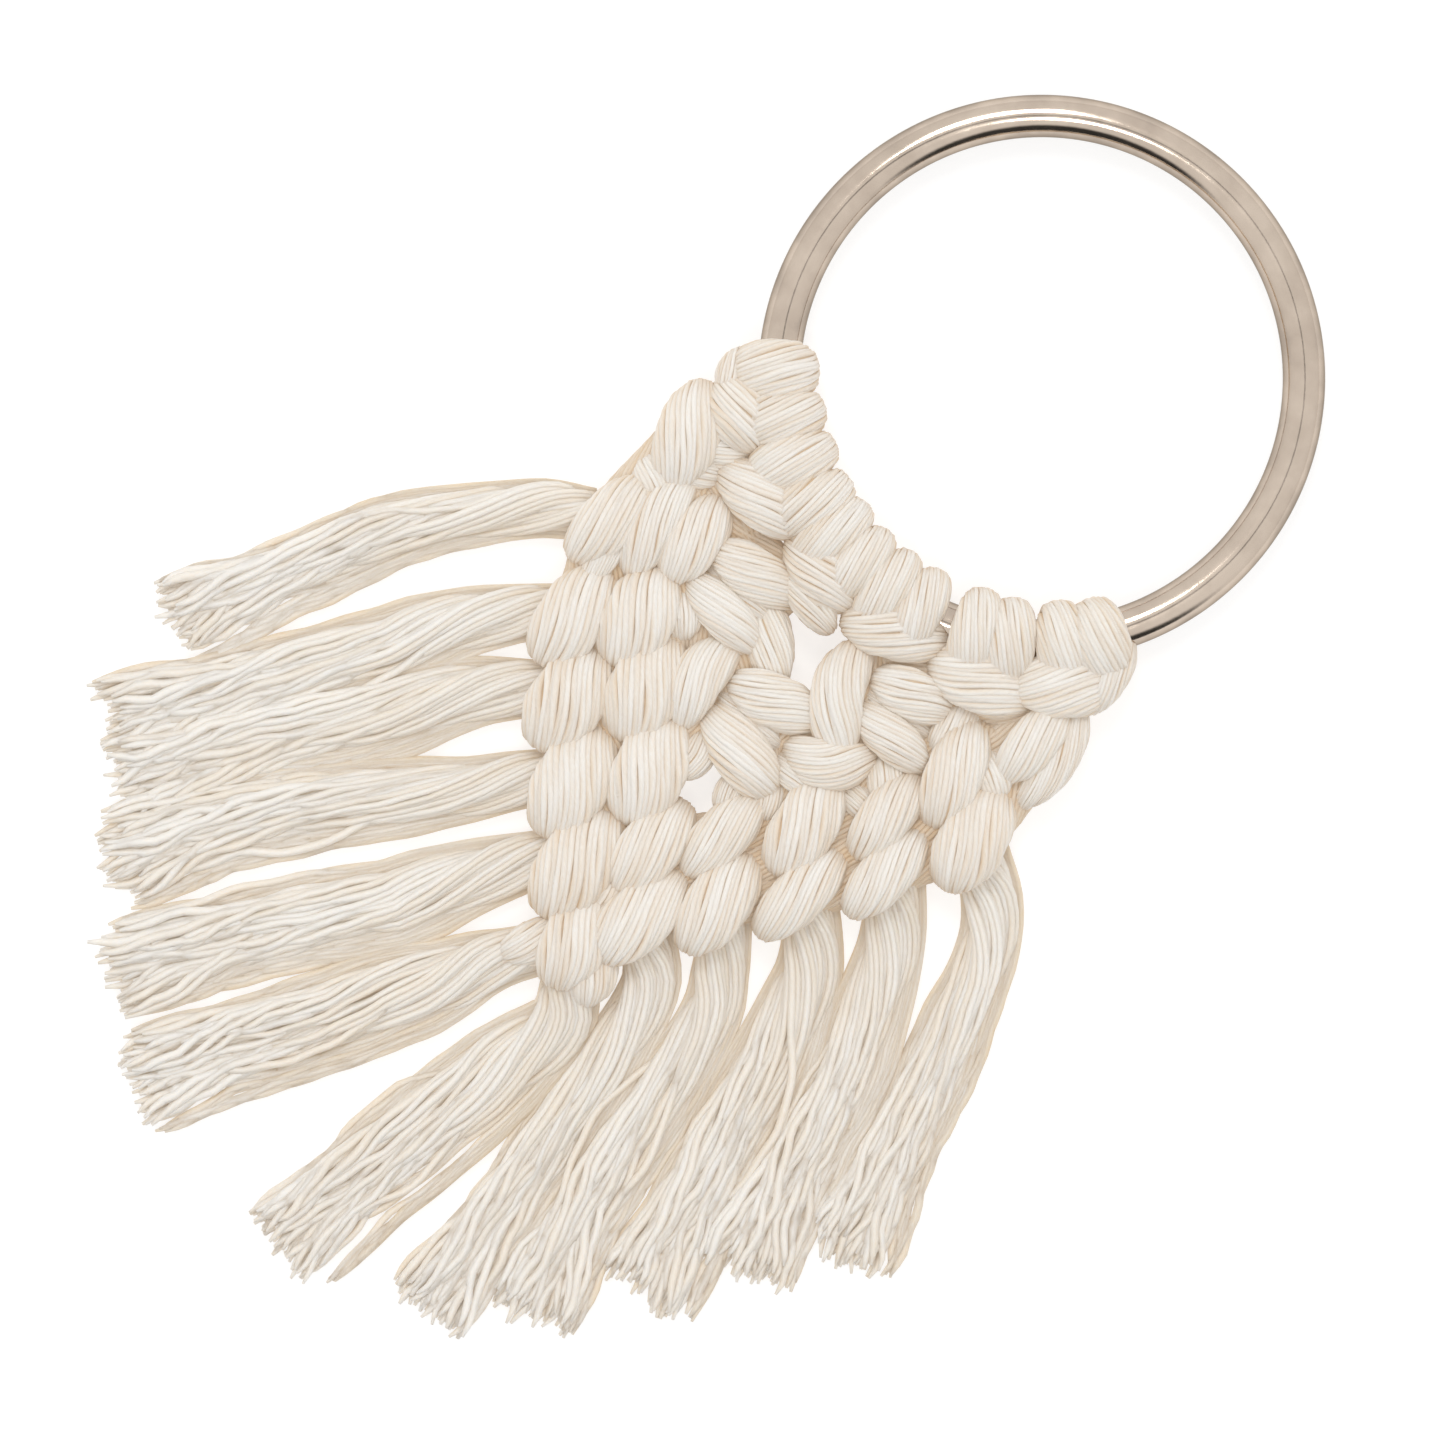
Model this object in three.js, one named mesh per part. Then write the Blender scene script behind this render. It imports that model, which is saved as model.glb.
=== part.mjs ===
// A macrame ring ornament: a round metal ring, six doubled cotton cords hitched onto it, and the
// knotted V-shaped panel that they form, which ends in twelve combed-out tassels.
// The piece lies face up on a flat surface. Millimetres, +Z up, +Y towards the free side of the ring.
import * as THREE from "three";

// Ring
const RING_INSIDE = 50;
const WIRE = 4.4;
const RING_RADIUS = (RING_INSIDE + WIRE) / 2;
const WIRE_SIDES = 12;
const RING_STEPS = 64;

// Cord
const CORD = 4.2;
const RUNNING_GAP = 0.3;
const UNDER_WIRE = 1.2;
const WIRE_HEIGHT = WIRE / 2 + RUNNING_GAP + UNDER_WIRE;
const KNOT_HEIGHT = 7.8;
const EDGE_ROUND = 1.2;

// Lark's head knots: each is a sleeve of two wraps round the wire and a bar across its lower edge.
const LARKS_HEADS = 6;
const LARKS_HEAD_STEP = THREE.MathUtils.degToRad(18.8);
const LARKS_HEAD_LENGTH = 8;
const SLEEVE = { inward: 5, upward: 4.6 };
const BAR = { out: 3.7, halfWidth: 2.1, halfHeight: 4.5 };

// Square knots: centre and size in the plane of the panel, measured from the ring's centre.
const SQUARE_KNOT_ROUND = 2.6;
const SIDE_SQUARE_KNOT = { x: 8.2, y: -37.7, width: 10.4, length: 8.6 };
const CENTRE_SQUARE_KNOT = { x: 0, y: -46.5, width: 15.6, length: 8.2 };
const CLOSING_KNOT = { x: 0, y: -77.4, width: 8, length: 6.8 };

// Half hitches: two rows on each side, which run down to the point of the V.
const HITCH_LENGTH = 10.6;
const HITCH_LEAN = THREE.MathUtils.degToRad(3);
const OUTER_ROW = { x: 26, y: -42.5, count: 5 };
const INNER_ROW = { x: 21.3, y: -37.3 };
const INNER_COUNT = { left: 5, right: 4 };
const ROW_STEP = { x: -5.35, y: -6.4 };
const EDGE_LOOP = { x: 26, y: -30, length: 11.4 };
const SIDE_CORD = { x: 16.3, y: -34, length: 8.2 };

// Tassels: the middle line of each, from its hinge at the knots to its tip, outermost first.
const TASSEL = { neck: CORD, tip: 6.3, thickness: 3.4, sides: 10, steps: 7, capSteps: 2 };
const TASSEL_ROUTES = {
  left: [
    [[-31.2, -43.2], [-36, -47.4], [-41.6, -53.4], [-46.2, -62.5], [-53, -76.5]],
    [[-26.4, -53.2], [-31.3, -58], [-37.5, -67.1], [-45.2, -79.4], [-51, -87.9]],
    [[-21, -59.2], [-25.1, -63], [-31.3, -71.3], [-39.6, -82.7], [-46.4, -93]],
    [[-15, -66.7], [-18.9, -71.3], [-27.1, -79.8], [-36.2, -91], [-41.4, -99.3]],
    [[-9.6, -72.6], [-14.7, -78.5], [-20.9, -87], [-28.8, -99.8], [-33.9, -108.6]],
    [[-4.6, -83.5], [-6.6, -89], [-11.4, -98.2], [-17.4, -107.6], [-23, -116.9]],
  ],
  right: [
    [[31.2, -44.7], [34.6, -49.4], [37.3, -57], [40.2, -67.1], [43.8, -81.7]],
    [[25.4, -53.7], [28, -58.2], [31.7, -67.1], [34.2, -77.5], [37.1, -89.4]],
    [[19.6, -60.7], [21.5, -65.3], [24.3, -77.5], [26.7, -87.9], [28.8, -98.7]],
    [[13.6, -68.2], [16.2, -73.6], [18.2, -87.9], [19.7, -98.2], [21.5, -108.1]],
    [[8.4, -74.5], [10.2, -82.7], [11.4, -93], [12.4, -103.4], [12.9, -114.3]],
    [[2.9, -83.5], [2, -89], [0.8, -98.2], [-0.2, -110.4], [-1, -118.9]],
  ],
};

const NICKEL = { color: 0xc9c0b4, roughness: 0.16, metalness: 1 };
const COTTON = { color: 0xe9e1d3, roughness: 0.95, metalness: 0 };

const SIDES = { left: -1, right: 1 };
const assembly = new THREE.Group();

// Adds one named solid to the assembly, with a material of its own.
function addPiece(name, geometry, finish) {
  const piece = new THREE.Mesh(geometry, new THREE.MeshStandardMaterial(finish));
  piece.name = name;
  assembly.add(piece);
  return piece;
}

// The ring: a many-sided wire section turned about the vertical axis. A facet of the section faces
// straight in, and a facet of the turning faces straight along +Y.
function ringGeometry() {
  const section = [];
  for (let i = 0; i <= WIRE_SIDES; i++) {
    const angle = ((i + 0.5) * 2 * Math.PI) / WIRE_SIDES;
    const reach = WIRE / 2;
    section.push(new THREE.Vector2(RING_RADIUS + reach * Math.cos(angle), reach * Math.sin(angle)));
  }
  const ring = new THREE.LatheGeometry(section, RING_STEPS, Math.PI / RING_STEPS);
  return ring.rotateX(Math.PI / 2).translate(0, 0, WIRE_HEIGHT);
}

// The section of a lark's head, seen along the wire: x runs outward from the wire's centre and y up.
function larksHeadSection() {
  const foot = Math.asin(WIRE_HEIGHT / SLEEVE.upward);
  const section = new THREE.Shape();
  section.absellipse(0, 0, SLEEVE.inward, SLEEVE.upward, Math.PI + foot, Math.PI / 4, true);
  section.absellipse(BAR.out, BAR.halfHeight - WIRE_HEIGHT, BAR.halfWidth, BAR.halfHeight,
    Math.PI / 2, -Math.PI / 2, true);
  section.closePath();
  const bore = new THREE.Path();
  bore.absarc(0, 0, WIRE / 2 + RUNNING_GAP, 0, 2 * Math.PI, false);
  section.holes.push(bore);
  return section;
}

// Bends a straight extrusion (section in x and y, length in z) round the ring's axis at an angle
// that is measured from the bottom of the ring. The length runs backwards round the ring, which
// keeps the faces outward.
function bentRoundRing(geometry, angle) {
  const position = geometry.getAttribute("position");
  for (let i = 0; i < position.count; i++) {
    const turn = angle - position.getZ(i) / RING_RADIUS;
    const radius = RING_RADIUS + position.getX(i);
    const height = WIRE_HEIGHT + position.getY(i);
    position.setXYZ(i, radius * Math.sin(turn), -radius * Math.cos(turn), height);
  }
  return geometry;
}

function larksHeadGeometry(angle) {
  const straight = new THREE.ExtrudeGeometry(larksHeadSection(), {
    depth: LARKS_HEAD_LENGTH,
    steps: 3,
    curveSegments: 8,
    bevelEnabled: false,
  });
  return bentRoundRing(straight.translate(0, 0, -LARKS_HEAD_LENGTH / 2), angle);
}

// A rectangle with round corners, centred on the origin.
function roundedOutline(width, length, radius) {
  const x = width / 2 - radius;
  const y = length / 2 - radius;
  const outline = new THREE.Shape();
  outline.absarc(x, y, radius, 0, Math.PI / 2);
  outline.absarc(-x, y, radius, Math.PI / 2, Math.PI);
  outline.absarc(-x, -y, radius, Math.PI, 1.5 * Math.PI);
  outline.absarc(x, -y, radius, 1.5 * Math.PI, 2 * Math.PI);
  outline.closePath();
  return outline;
}

// A knot's body: flat underneath, where it rests, with rounded edges and KNOT_HEIGHT tall.
function knotGeometry(width, length, radius) {
  const knot = new THREE.ExtrudeGeometry(roundedOutline(width, length, radius), {
    depth: KNOT_HEIGHT - 2 * EDGE_ROUND,
    steps: 1,
    curveSegments: 3,
    bevelThickness: EDGE_ROUND,
    bevelSize: EDGE_ROUND,
    bevelOffset: -EDGE_ROUND,
    bevelSegments: 1,
  });
  return knot.translate(0, 0, EDGE_ROUND);
}

function addSquareKnot(name, { x, y, width, length }) {
  const knot = addPiece(name, knotGeometry(width, length, SQUARE_KNOT_ROUND), COTTON);
  knot.position.set(x, y, 0);
}

// One lobe of cord, upright in the plane of the panel apart from a slight lean.
function addLobe(name, x, y, length, lean) {
  const lobe = addPiece(name, knotGeometry(CORD, length, CORD / 2), COTTON);
  lobe.position.set(x, y, 0);
  lobe.rotation.z = lean;
}

// A row of half hitches on one side of the V, numbered from the ring down.
function addHitchRow(name, side, row, count) {
  const sign = SIDES[side];
  for (let i = 0; i < count; i++) {
    const x = sign * (row.x + i * ROW_STEP.x);
    addLobe(`${name}_${side}_${i + 1}`, x, row.y + i * ROW_STEP.y, HITCH_LENGTH, -sign * HITCH_LEAN);
  }
}

// A tassel hinges at its neck. Its own frame has the hinge at the origin, the hinge's axis along X
// and the straight line from neck to tip along -Y.
function addTassel(name, route) {
  const points = route.map(([x, y]) => new THREE.Vector2(x, y));
  const hinge = points[0].clone();
  const heading = points.at(-1).clone().sub(hinge).angle() + Math.PI / 2;
  const line = new THREE.SplineCurve(
    points.map((point) => point.clone().rotateAround(hinge, -heading).sub(hinge)),
  );
  const neck = TASSEL.thickness / 2;
  const reach = line.getLength();
  const tassel = new THREE.CapsuleGeometry(
    neck, reach - neck, TASSEL.capSteps, TASSEL.sides, TASSEL.steps);
  const position = tassel.getAttribute("position");
  for (let i = 0; i < position.count; i++) {
    // How far along the line this vertex is: below 0 on the round end behind the hinge.
    const along = ((reach + neck) / 2 - position.getY(i) - neck) / reach;
    const onLine = THREE.MathUtils.clamp(along, 0, 1);
    const tangent = line.getTangentAt(onLine);
    const width = THREE.MathUtils.lerp(TASSEL.neck, TASSEL.tip, onLine);
    const aside = (position.getX(i) / neck) * (width / 2);
    const centre = line.getPointAt(onLine).addScaledVector(tangent, (along - onLine) * reach);
    position.setXYZ(i, centre.x - tangent.y * aside, centre.y + tangent.x * aside, position.getZ(i));
  }
  const piece = addPiece(name, tassel, COTTON);
  piece.position.set(hinge.x, hinge.y, TASSEL.thickness / 2);
  piece.rotation.z = heading;
}

addPiece("ring", ringGeometry(), NICKEL);
for (let i = 0; i < LARKS_HEADS; i++) {
  const angle = (i - (LARKS_HEADS - 1) / 2) * LARKS_HEAD_STEP;
  addPiece(`larks_head_${i + 1}`, larksHeadGeometry(angle), COTTON);
}
addSquareKnot("square_knot_centre", CENTRE_SQUARE_KNOT);
addSquareKnot("closing_knot", CLOSING_KNOT);
for (const [side, sign] of Object.entries(SIDES)) {
  addSquareKnot(`square_knot_${side}`, { ...SIDE_SQUARE_KNOT, x: sign * SIDE_SQUARE_KNOT.x });
  addLobe(`edge_loop_${side}`, sign * EDGE_LOOP.x, EDGE_LOOP.y, EDGE_LOOP.length, 0);
  addLobe(`side_cord_${side}`, sign * SIDE_CORD.x, SIDE_CORD.y, SIDE_CORD.length, 0);
  addHitchRow("outer_hitch", side, OUTER_ROW, OUTER_ROW.count);
  addHitchRow("inner_hitch", side, INNER_ROW, INNER_COUNT[side]);
  TASSEL_ROUTES[side].forEach((route, i) => addTassel(`tassel_${side}_${i + 1}`, route));
}

// The origin is under the middle of the whole part, on the surface that it lies on.
const box = new THREE.Box3().setFromObject(assembly, true);
const middle = box.getCenter(new THREE.Vector3());
assembly.position.set(-middle.x, -middle.y, -box.min.z);
const part = new THREE.Group();
part.add(assembly);

export default part;
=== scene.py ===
# The looks of a macrame ring ornament: a nickel ring, a knotted panel of cotton cord and twelve
# combed-out tassels. Every cord is built from its own yarns. Lengths in the tables are millimetres,
# measured from the ring's centre, with +Y towards the ring's free side and z up from the surface.
import math

import bpy
import numpy as np
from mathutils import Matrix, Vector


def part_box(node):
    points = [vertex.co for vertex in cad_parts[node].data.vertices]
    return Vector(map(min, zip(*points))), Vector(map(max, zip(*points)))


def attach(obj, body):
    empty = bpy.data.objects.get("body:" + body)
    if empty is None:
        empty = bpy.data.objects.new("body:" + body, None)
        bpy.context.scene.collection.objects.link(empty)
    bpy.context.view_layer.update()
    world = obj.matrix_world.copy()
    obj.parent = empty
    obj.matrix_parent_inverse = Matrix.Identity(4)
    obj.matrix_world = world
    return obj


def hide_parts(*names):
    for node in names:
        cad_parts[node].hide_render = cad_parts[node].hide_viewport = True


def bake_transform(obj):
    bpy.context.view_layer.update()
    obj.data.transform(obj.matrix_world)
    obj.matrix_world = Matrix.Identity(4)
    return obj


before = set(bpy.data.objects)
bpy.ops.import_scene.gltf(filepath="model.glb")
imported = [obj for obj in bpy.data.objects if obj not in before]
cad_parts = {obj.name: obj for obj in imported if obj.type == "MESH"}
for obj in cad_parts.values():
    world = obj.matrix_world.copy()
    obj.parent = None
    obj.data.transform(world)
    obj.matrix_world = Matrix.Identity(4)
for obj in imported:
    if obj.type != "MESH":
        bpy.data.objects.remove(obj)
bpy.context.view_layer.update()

MM = 0.001
RING_LOW, RING_HIGH = (np.array(corner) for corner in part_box("ring"))
RING_CENTRE = (RING_LOW + RING_HIGH) / 2
CAD_WIRE_SIDES = 12  # the CAD's wire has flat sides, and its top and its underside are level
WIRE_RADIUS = (RING_HIGH[2] - RING_LOW[2]) / 2 / MM / math.cos(math.pi / CAD_WIRE_SIDES)
WIRE_HEIGHT = RING_CENTRE[2] / MM
RING_RADIUS = (RING_HIGH[1] - RING_LOW[1]) / 2 / MM - WIRE_RADIUS

# Cord and yarn. A cord is a tube of twisted yarns round a plain core.
YARN_RADIUS = 0.28
YARN_SIDES = 5
CORD_YARNS = 26
CORE_SIDES = 14
TWIST_PITCH = 33
LOOP_STEPS = 32
UNDERSIDE = 0.4  # how densely points are set on a loop's hidden underside, against the rest
GROOVE_SHADE = 0.42  # how much painted shade darkens the sides of a cord's yarns, in the grooves between them
# the same painted groove shade, for the tassels' yarns
FRINGE_GROOVE_SHADE = 0.24
# a cord's core is coloured as painted shade
CORE_SHADE = 0.6
CREST_FACING = 0.75  # a yarn's surface is a crest where it faces outward at least so much
FIBRE_WINDING = 0.9  # radians per millimetre of yarn
FIBRE_RADIUS = 0.33
FIBRE_OFFSET = 7.3

# Camera and light
PHOTO_ROLL = math.radians(40)
VIEW_WIDTH = 0.1497
VIEW_CENTRE = (-2.4, -48.4)
CAMERA_HEIGHT = 1.1
SENSOR = 36
WORLD_STRENGTH = 0.91
WORLD_TINT = (1.0, 0.993, 0.983)
LAMP_COLOUR = (1.0, 0.99, 0.975)
# The cotton's light colour, the colour of its painted shade in creases and low places (which the yarns'
# darker tones also reach), and how much light passes through it.
FRINGE_COLOURS = ((0.82, 0.792, 0.750), (0.67, 0.53, 0.37), 0.35)
CORD_COLOURS = ((0.81, 0.782, 0.740), (0.63, 0.47, 0.31), 0.2)
FLOOR_REACH = 3.0
FLOOR_GREY = (0.4, 0.4, 0.4, 1)
FLOOR_GLOW = 0.68  # keeps the paper white under the camera, with only faint shadows
# Where the surround is darker: direction, how much its height counts, where the darkening begins
# and where it is full in degrees from that direction, and the brightness that is left there.
DARK_PLACES = [
    ((0.60, -0.75, 0.16), 1.9, 44, 30, 0.05),
    ((0.035, 0.03, 1.0), 1.0, 4.5, 2.0, 0.25),
]


def place(points):
    """Points in the tables' millimetres, as metres in the frame."""
    points = np.asarray(points, float) * MM
    return points + np.array([RING_CENTRE[0], RING_CENTRE[1], 0.0])


def new_object(name, data):
    made = bpy.data.objects.new(name, data)
    bpy.context.scene.collection.objects.link(made)
    return made


def new_material(name):
    """A material, its nodes and links, and its shader."""
    material = bpy.data.materials.new(name)
    material.use_nodes = True
    tree = material.node_tree
    return material, tree.nodes, tree.links, tree.nodes["Principled BSDF"]


def set_ramp(node, *stops):
    """Sets a colour ramp's stops, given as (position, colour) in rising order."""
    elements = node.color_ramp.elements
    while len(elements) < len(stops):
        elements.new(0.5)
    for element, (position, _) in zip(elements, stops):
        element.position = position
    for element, (_, colour) in zip(elements, stops):
        element.color = (*colour, 1)


# ---------------------------------------------------------------- camera, light and floor


def make_camera():
    """Straight above the part, rolled as the photo is."""
    camera = new_object("camera", bpy.data.cameras.new("camera"))
    x, y, _ = place([*VIEW_CENTRE, 0])
    camera.location = (x, y, CAMERA_HEIGHT)
    camera.rotation_euler = (0, 0, PHOTO_ROLL)
    camera.data.sensor_width = SENSOR
    camera.data.lens = SENSOR * CAMERA_HEIGHT / VIEW_WIDTH
    camera.data.clip_start = 0.01
    bpy.context.scene.camera = camera


def make_area_light(name, location, size, power):
    """A square lamp that faces the frame's origin."""
    light = bpy.data.lights.new(name, "AREA")
    light.shape = "SQUARE"
    light.size = size
    light.energy = power
    light.color = LAMP_COLOUR
    lamp = new_object(name, light)
    lamp.location = location
    to_middle = -np.array(location)
    lamp.rotation_euler = (
        math.atan2(math.hypot(to_middle[0], to_middle[1]), -to_middle[2]),
        0,
        math.atan2(to_middle[1], to_middle[0]) - math.pi / 2,
    )


def add_dark_place(nodes, links, direction, towards, flatten, edge, core, grey):
    """A brightness that is 1 all round and falls to grey near one direction."""
    scale = nodes.new("ShaderNodeVectorMath")
    scale.operation = "MULTIPLY"
    scale.inputs[1].default_value = (1, 1, flatten)
    links.new(direction, scale.inputs[0])
    unit = nodes.new("ShaderNodeVectorMath")
    unit.operation = "NORMALIZE"
    links.new(scale.outputs[0], unit.inputs[0])
    nearness = nodes.new("ShaderNodeVectorMath")
    nearness.operation = "DOT_PRODUCT"
    middle = np.array(towards) * (1, 1, flatten)
    nearness.inputs[1].default_value = tuple(middle / np.linalg.norm(middle))
    links.new(unit.outputs[0], nearness.inputs[0])
    ramp = nodes.new("ShaderNodeMapRange")
    ramp.interpolation_type = "SMOOTHSTEP"
    ramp.inputs["From Min"].default_value = math.cos(math.radians(edge))
    ramp.inputs["From Max"].default_value = math.cos(math.radians(core))
    ramp.inputs["To Min"].default_value = 1.0
    ramp.inputs["To Max"].default_value = grey
    links.new(nearness.outputs["Value"], ramp.inputs["Value"])
    return ramp.outputs["Result"]


def make_world():
    """An even pale surround. The ring reflects two darker places in it: one low down beyond the
    tassels and a narrow one nearly overhead."""
    world = bpy.data.worlds.new("studio")
    bpy.context.scene.world = world
    world.use_nodes = True
    nodes, links = world.node_tree.nodes, world.node_tree.links
    direction = nodes.new("ShaderNodeTexCoord").outputs["Generated"]
    low, overhead = (add_dark_place(nodes, links, direction, *dark) for dark in DARK_PLACES)
    both = nodes.new("ShaderNodeMath")
    both.operation = "MULTIPLY"
    links.new(low, both.inputs[0])
    links.new(overhead, both.inputs[1])
    tint = nodes.new("ShaderNodeVectorMath")
    tint.operation = "SCALE"
    tint.inputs[0].default_value = WORLD_TINT
    links.new(both.outputs[0], tint.inputs["Scale"])
    background = nodes["Background"]
    links.new(tint.outputs[0], background.inputs["Color"])
    background.inputs["Strength"].default_value = WORLD_STRENGTH


def make_floor():
    reach = FLOOR_REACH
    mesh = bpy.data.meshes.new("floor")
    corners = [(-reach, -reach, 0), (reach, -reach, 0), (reach, reach, 0), (-reach, reach, 0)]
    mesh.from_pydata(corners, [], [(0, 1, 2, 3)])
    floor = new_object("floor", mesh)
    material, _, _, shader = new_material("paper_white")
    shader.inputs["Base Color"].default_value = FLOOR_GREY
    shader.inputs["Emission Color"].default_value = (1, 1, 1, 1)
    shader.inputs["Emission Strength"].default_value = FLOOR_GLOW
    shader.inputs["Roughness"].default_value = 0.9
    shader.inputs["Specular IOR Level"].default_value = 0.1
    mesh.materials.append(material)


# ---------------------------------------------------------------- materials


def attribute(nodes, name):
    node = nodes.new("ShaderNodeAttribute")
    node.attribute_name = name
    return node


def noise(nodes, scale, detail):
    node = nodes.new("ShaderNodeTexNoise")
    node.inputs["Scale"].default_value = scale
    node.inputs["Detail"].default_value = detail
    return node


def add_bump(nodes, links, height, strength, distance, shader):
    bump = nodes.new("ShaderNodeBump")
    bump.inputs["Strength"].default_value = strength
    bump.inputs["Distance"].default_value = distance
    links.new(height, bump.inputs["Height"])
    links.new(bump.outputs["Normal"], shader.inputs["Normal"])


def scaled_sum(nodes, links, parts):
    """The sum of outputs times their scales, as a chain of nodes."""
    total = None
    for output, scale in parts:
        node = nodes.new("ShaderNodeMath")
        node.operation = "MULTIPLY_ADD"
        links.new(output, node.inputs[0])
        node.inputs[1].default_value = scale
        node.inputs[2].default_value = 0.0
        if total is not None:
            links.new(total, node.inputs[2])
        total = node.outputs[0]
    return total


def make_cotton(name, light, shade, glow):
    """Undyed cotton: each yarn has its own tone, painted shade makes creases and low places tanner, and
    fibres wind along the yarn. light and shade: the colours of crests and of the painted shade in
    creases. glow: how much light passes through."""
    material, nodes, links, shader = new_material(name)
    shader.inputs["Roughness"].default_value = 0.88
    shader.inputs["Specular IOR Level"].default_value = 0.25
    shader.inputs["Sheen Weight"].default_value = 0.2
    shader.inputs["Sheen Roughness"].default_value = 0.6
    shader.inputs["Sheen Tint"].default_value = (1.0, 0.98, 0.95, 1)
    shader.inputs["Subsurface Weight"].default_value = glow
    shader.inputs["Subsurface Radius"].default_value = (1.0, 0.85, 0.7)
    shader.inputs["Subsurface Scale"].default_value = 0.001
    # stands for light that has passed through many yarns
    shader.inputs["Emission Color"].default_value = (1.0, 0.86, 0.68, 1)
    shader.inputs["Emission Strength"].default_value = 0.075

    stretch = nodes.new("ShaderNodeMapping")
    stretch.inputs["Scale"].default_value = (7.0, 7.0, 0.9)
    links.new(attribute(nodes, "along_yarn").outputs["Vector"], stretch.inputs["Vector"])
    fibre = noise(nodes, scale=1.0, detail=3.0)
    links.new(stretch.outputs["Vector"], fibre.inputs["Vector"])
    patch = noise(nodes, scale=110.0, detail=2.0)
    links.new(nodes.new("ShaderNodeTexCoord").outputs["Object"], patch.inputs["Vector"])

    # painted shade in creases and low places, added to each yarn's own tone, its fibres and its patches
    depth = scaled_sum(nodes, links, [
        (attribute(nodes, "crease").outputs["Fac"], 0.80),
        (attribute(nodes, "tone").outputs["Fac"], 0.20),
        (fibre.outputs["Fac"], 0.28),
        (patch.outputs["Fac"], 0.28),
    ])
    ramp = nodes.new("ShaderNodeValToRGB")
    set_ramp(ramp, (0.32, light), (1.0, shade))
    links.new(depth, ramp.inputs[0])
    links.new(ramp.outputs["Color"], shader.inputs["Base Color"])
    add_bump(nodes, links, fibre.outputs["Fac"], 0.55, 0.00012, shader)
    return material


def make_nickel():
    """Polished nickel plate with faint wear along the wire, and painted shade that darkens the base
    colour on the wire's flanks.
    """
    material, nodes, links, shader = new_material("polished_nickel")
    shader.inputs["Metallic"].default_value = 1.0
    shader.inputs["Specular Tint"].default_value = (0.55, 0.52, 0.48, 1)
    position = nodes.new("ShaderNodeTexCoord").outputs["Object"]
    cloud = noise(nodes, scale=260.0, detail=5.0)
    links.new(position, cloud.inputs["Vector"])
    # painted shade on the wire's flanks, together with the wear's cloud
    brightness = nodes.new("ShaderNodeMath")
    brightness.operation = "MULTIPLY_ADD"
    links.new(attribute(nodes, "flank").outputs["Fac"], brightness.inputs[0])
    brightness.inputs[1].default_value = -0.42
    links.new(cloud.outputs["Fac"], brightness.inputs[2])
    tint = nodes.new("ShaderNodeValToRGB")
    set_ramp(tint, (0.0, (0.41, 0.345, 0.29)), (0.35, (0.59, 0.495, 0.41)), (0.65, (0.69, 0.585, 0.49)))
    links.new(brightness.outputs[0], tint.inputs[0])
    links.new(tint.outputs["Color"], shader.inputs["Base Color"])
    dullness = nodes.new("ShaderNodeMapRange")
    dullness.inputs["To Min"].default_value = 0.06
    dullness.inputs["To Max"].default_value = 0.20
    links.new(cloud.outputs["Fac"], dullness.inputs["Value"])
    links.new(dullness.outputs["Result"], shader.inputs["Roughness"])
    grain = noise(nodes, scale=1400.0, detail=3.0)
    links.new(position, grain.inputs["Vector"])
    add_bump(nodes, links, grain.outputs["Fac"], 0.12, 0.00005, shader)
    return material


# ---------------------------------------------------------------- yarns


def one_ahead(values, closed_shift):
    """Each yarn's values one step further on, where yarn i runs on into yarn i + closed_shift."""
    return np.concatenate([values[:, 1:], np.roll(values, -closed_shift, 0)[:, :1]], 1)


def directions(centres, closed_shift):
    """Which way each yarn runs at each of its steps."""
    if closed_shift is None:
        tangent = np.gradient(centres, axis=1)
    else:
        behind = np.concatenate([np.roll(centres, closed_shift, 0)[:, -1:], centres[:, :-1]], 1)
        tangent = one_ahead(centres, closed_shift) - behind
    return tangent / np.linalg.norm(tangent, axis=2, keepdims=True)


def fibre_places(centres, turn):
    """Where the points lie in the fibres' noise, which winds round each yarn in its own place."""
    step = np.linalg.norm(np.diff(centres, axis=1, prepend=centres[:, :1]), axis=2)
    length = np.cumsum(step, 1)[:, :, None]
    own = (np.arange(len(centres)) * FIBRE_OFFSET)[:, None, None]
    winding = turn + length * FIBRE_WINDING
    across = np.cos(winding) * FIBRE_RADIUS + own
    up = np.sin(winding) * FIBRE_RADIUS
    return np.stack([across, up, length + own + 0 * winding], -1).reshape(-1, 3)


def smooth_object(name, points, faces, material, **attributes):
    """A smooth mesh object from points in millimetres, which carry the named attributes."""
    mesh = bpy.data.meshes.new(name)
    mesh.from_pydata(place(points).tolist(), [], faces)
    for label, values in attributes.items():
        kind, key = ("FLOAT", "value") if values.ndim == 1 else ("FLOAT_VECTOR", "vector")
        data = values.astype(np.float32).ravel()
        mesh.attributes.new(label, kind, "POINT").data.foreach_set(key, data)
    mesh.polygons.foreach_set("use_smooth", [True] * len(mesh.polygons))
    mesh.materials.append(material)
    mesh.update()
    return new_object(name, mesh)


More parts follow.
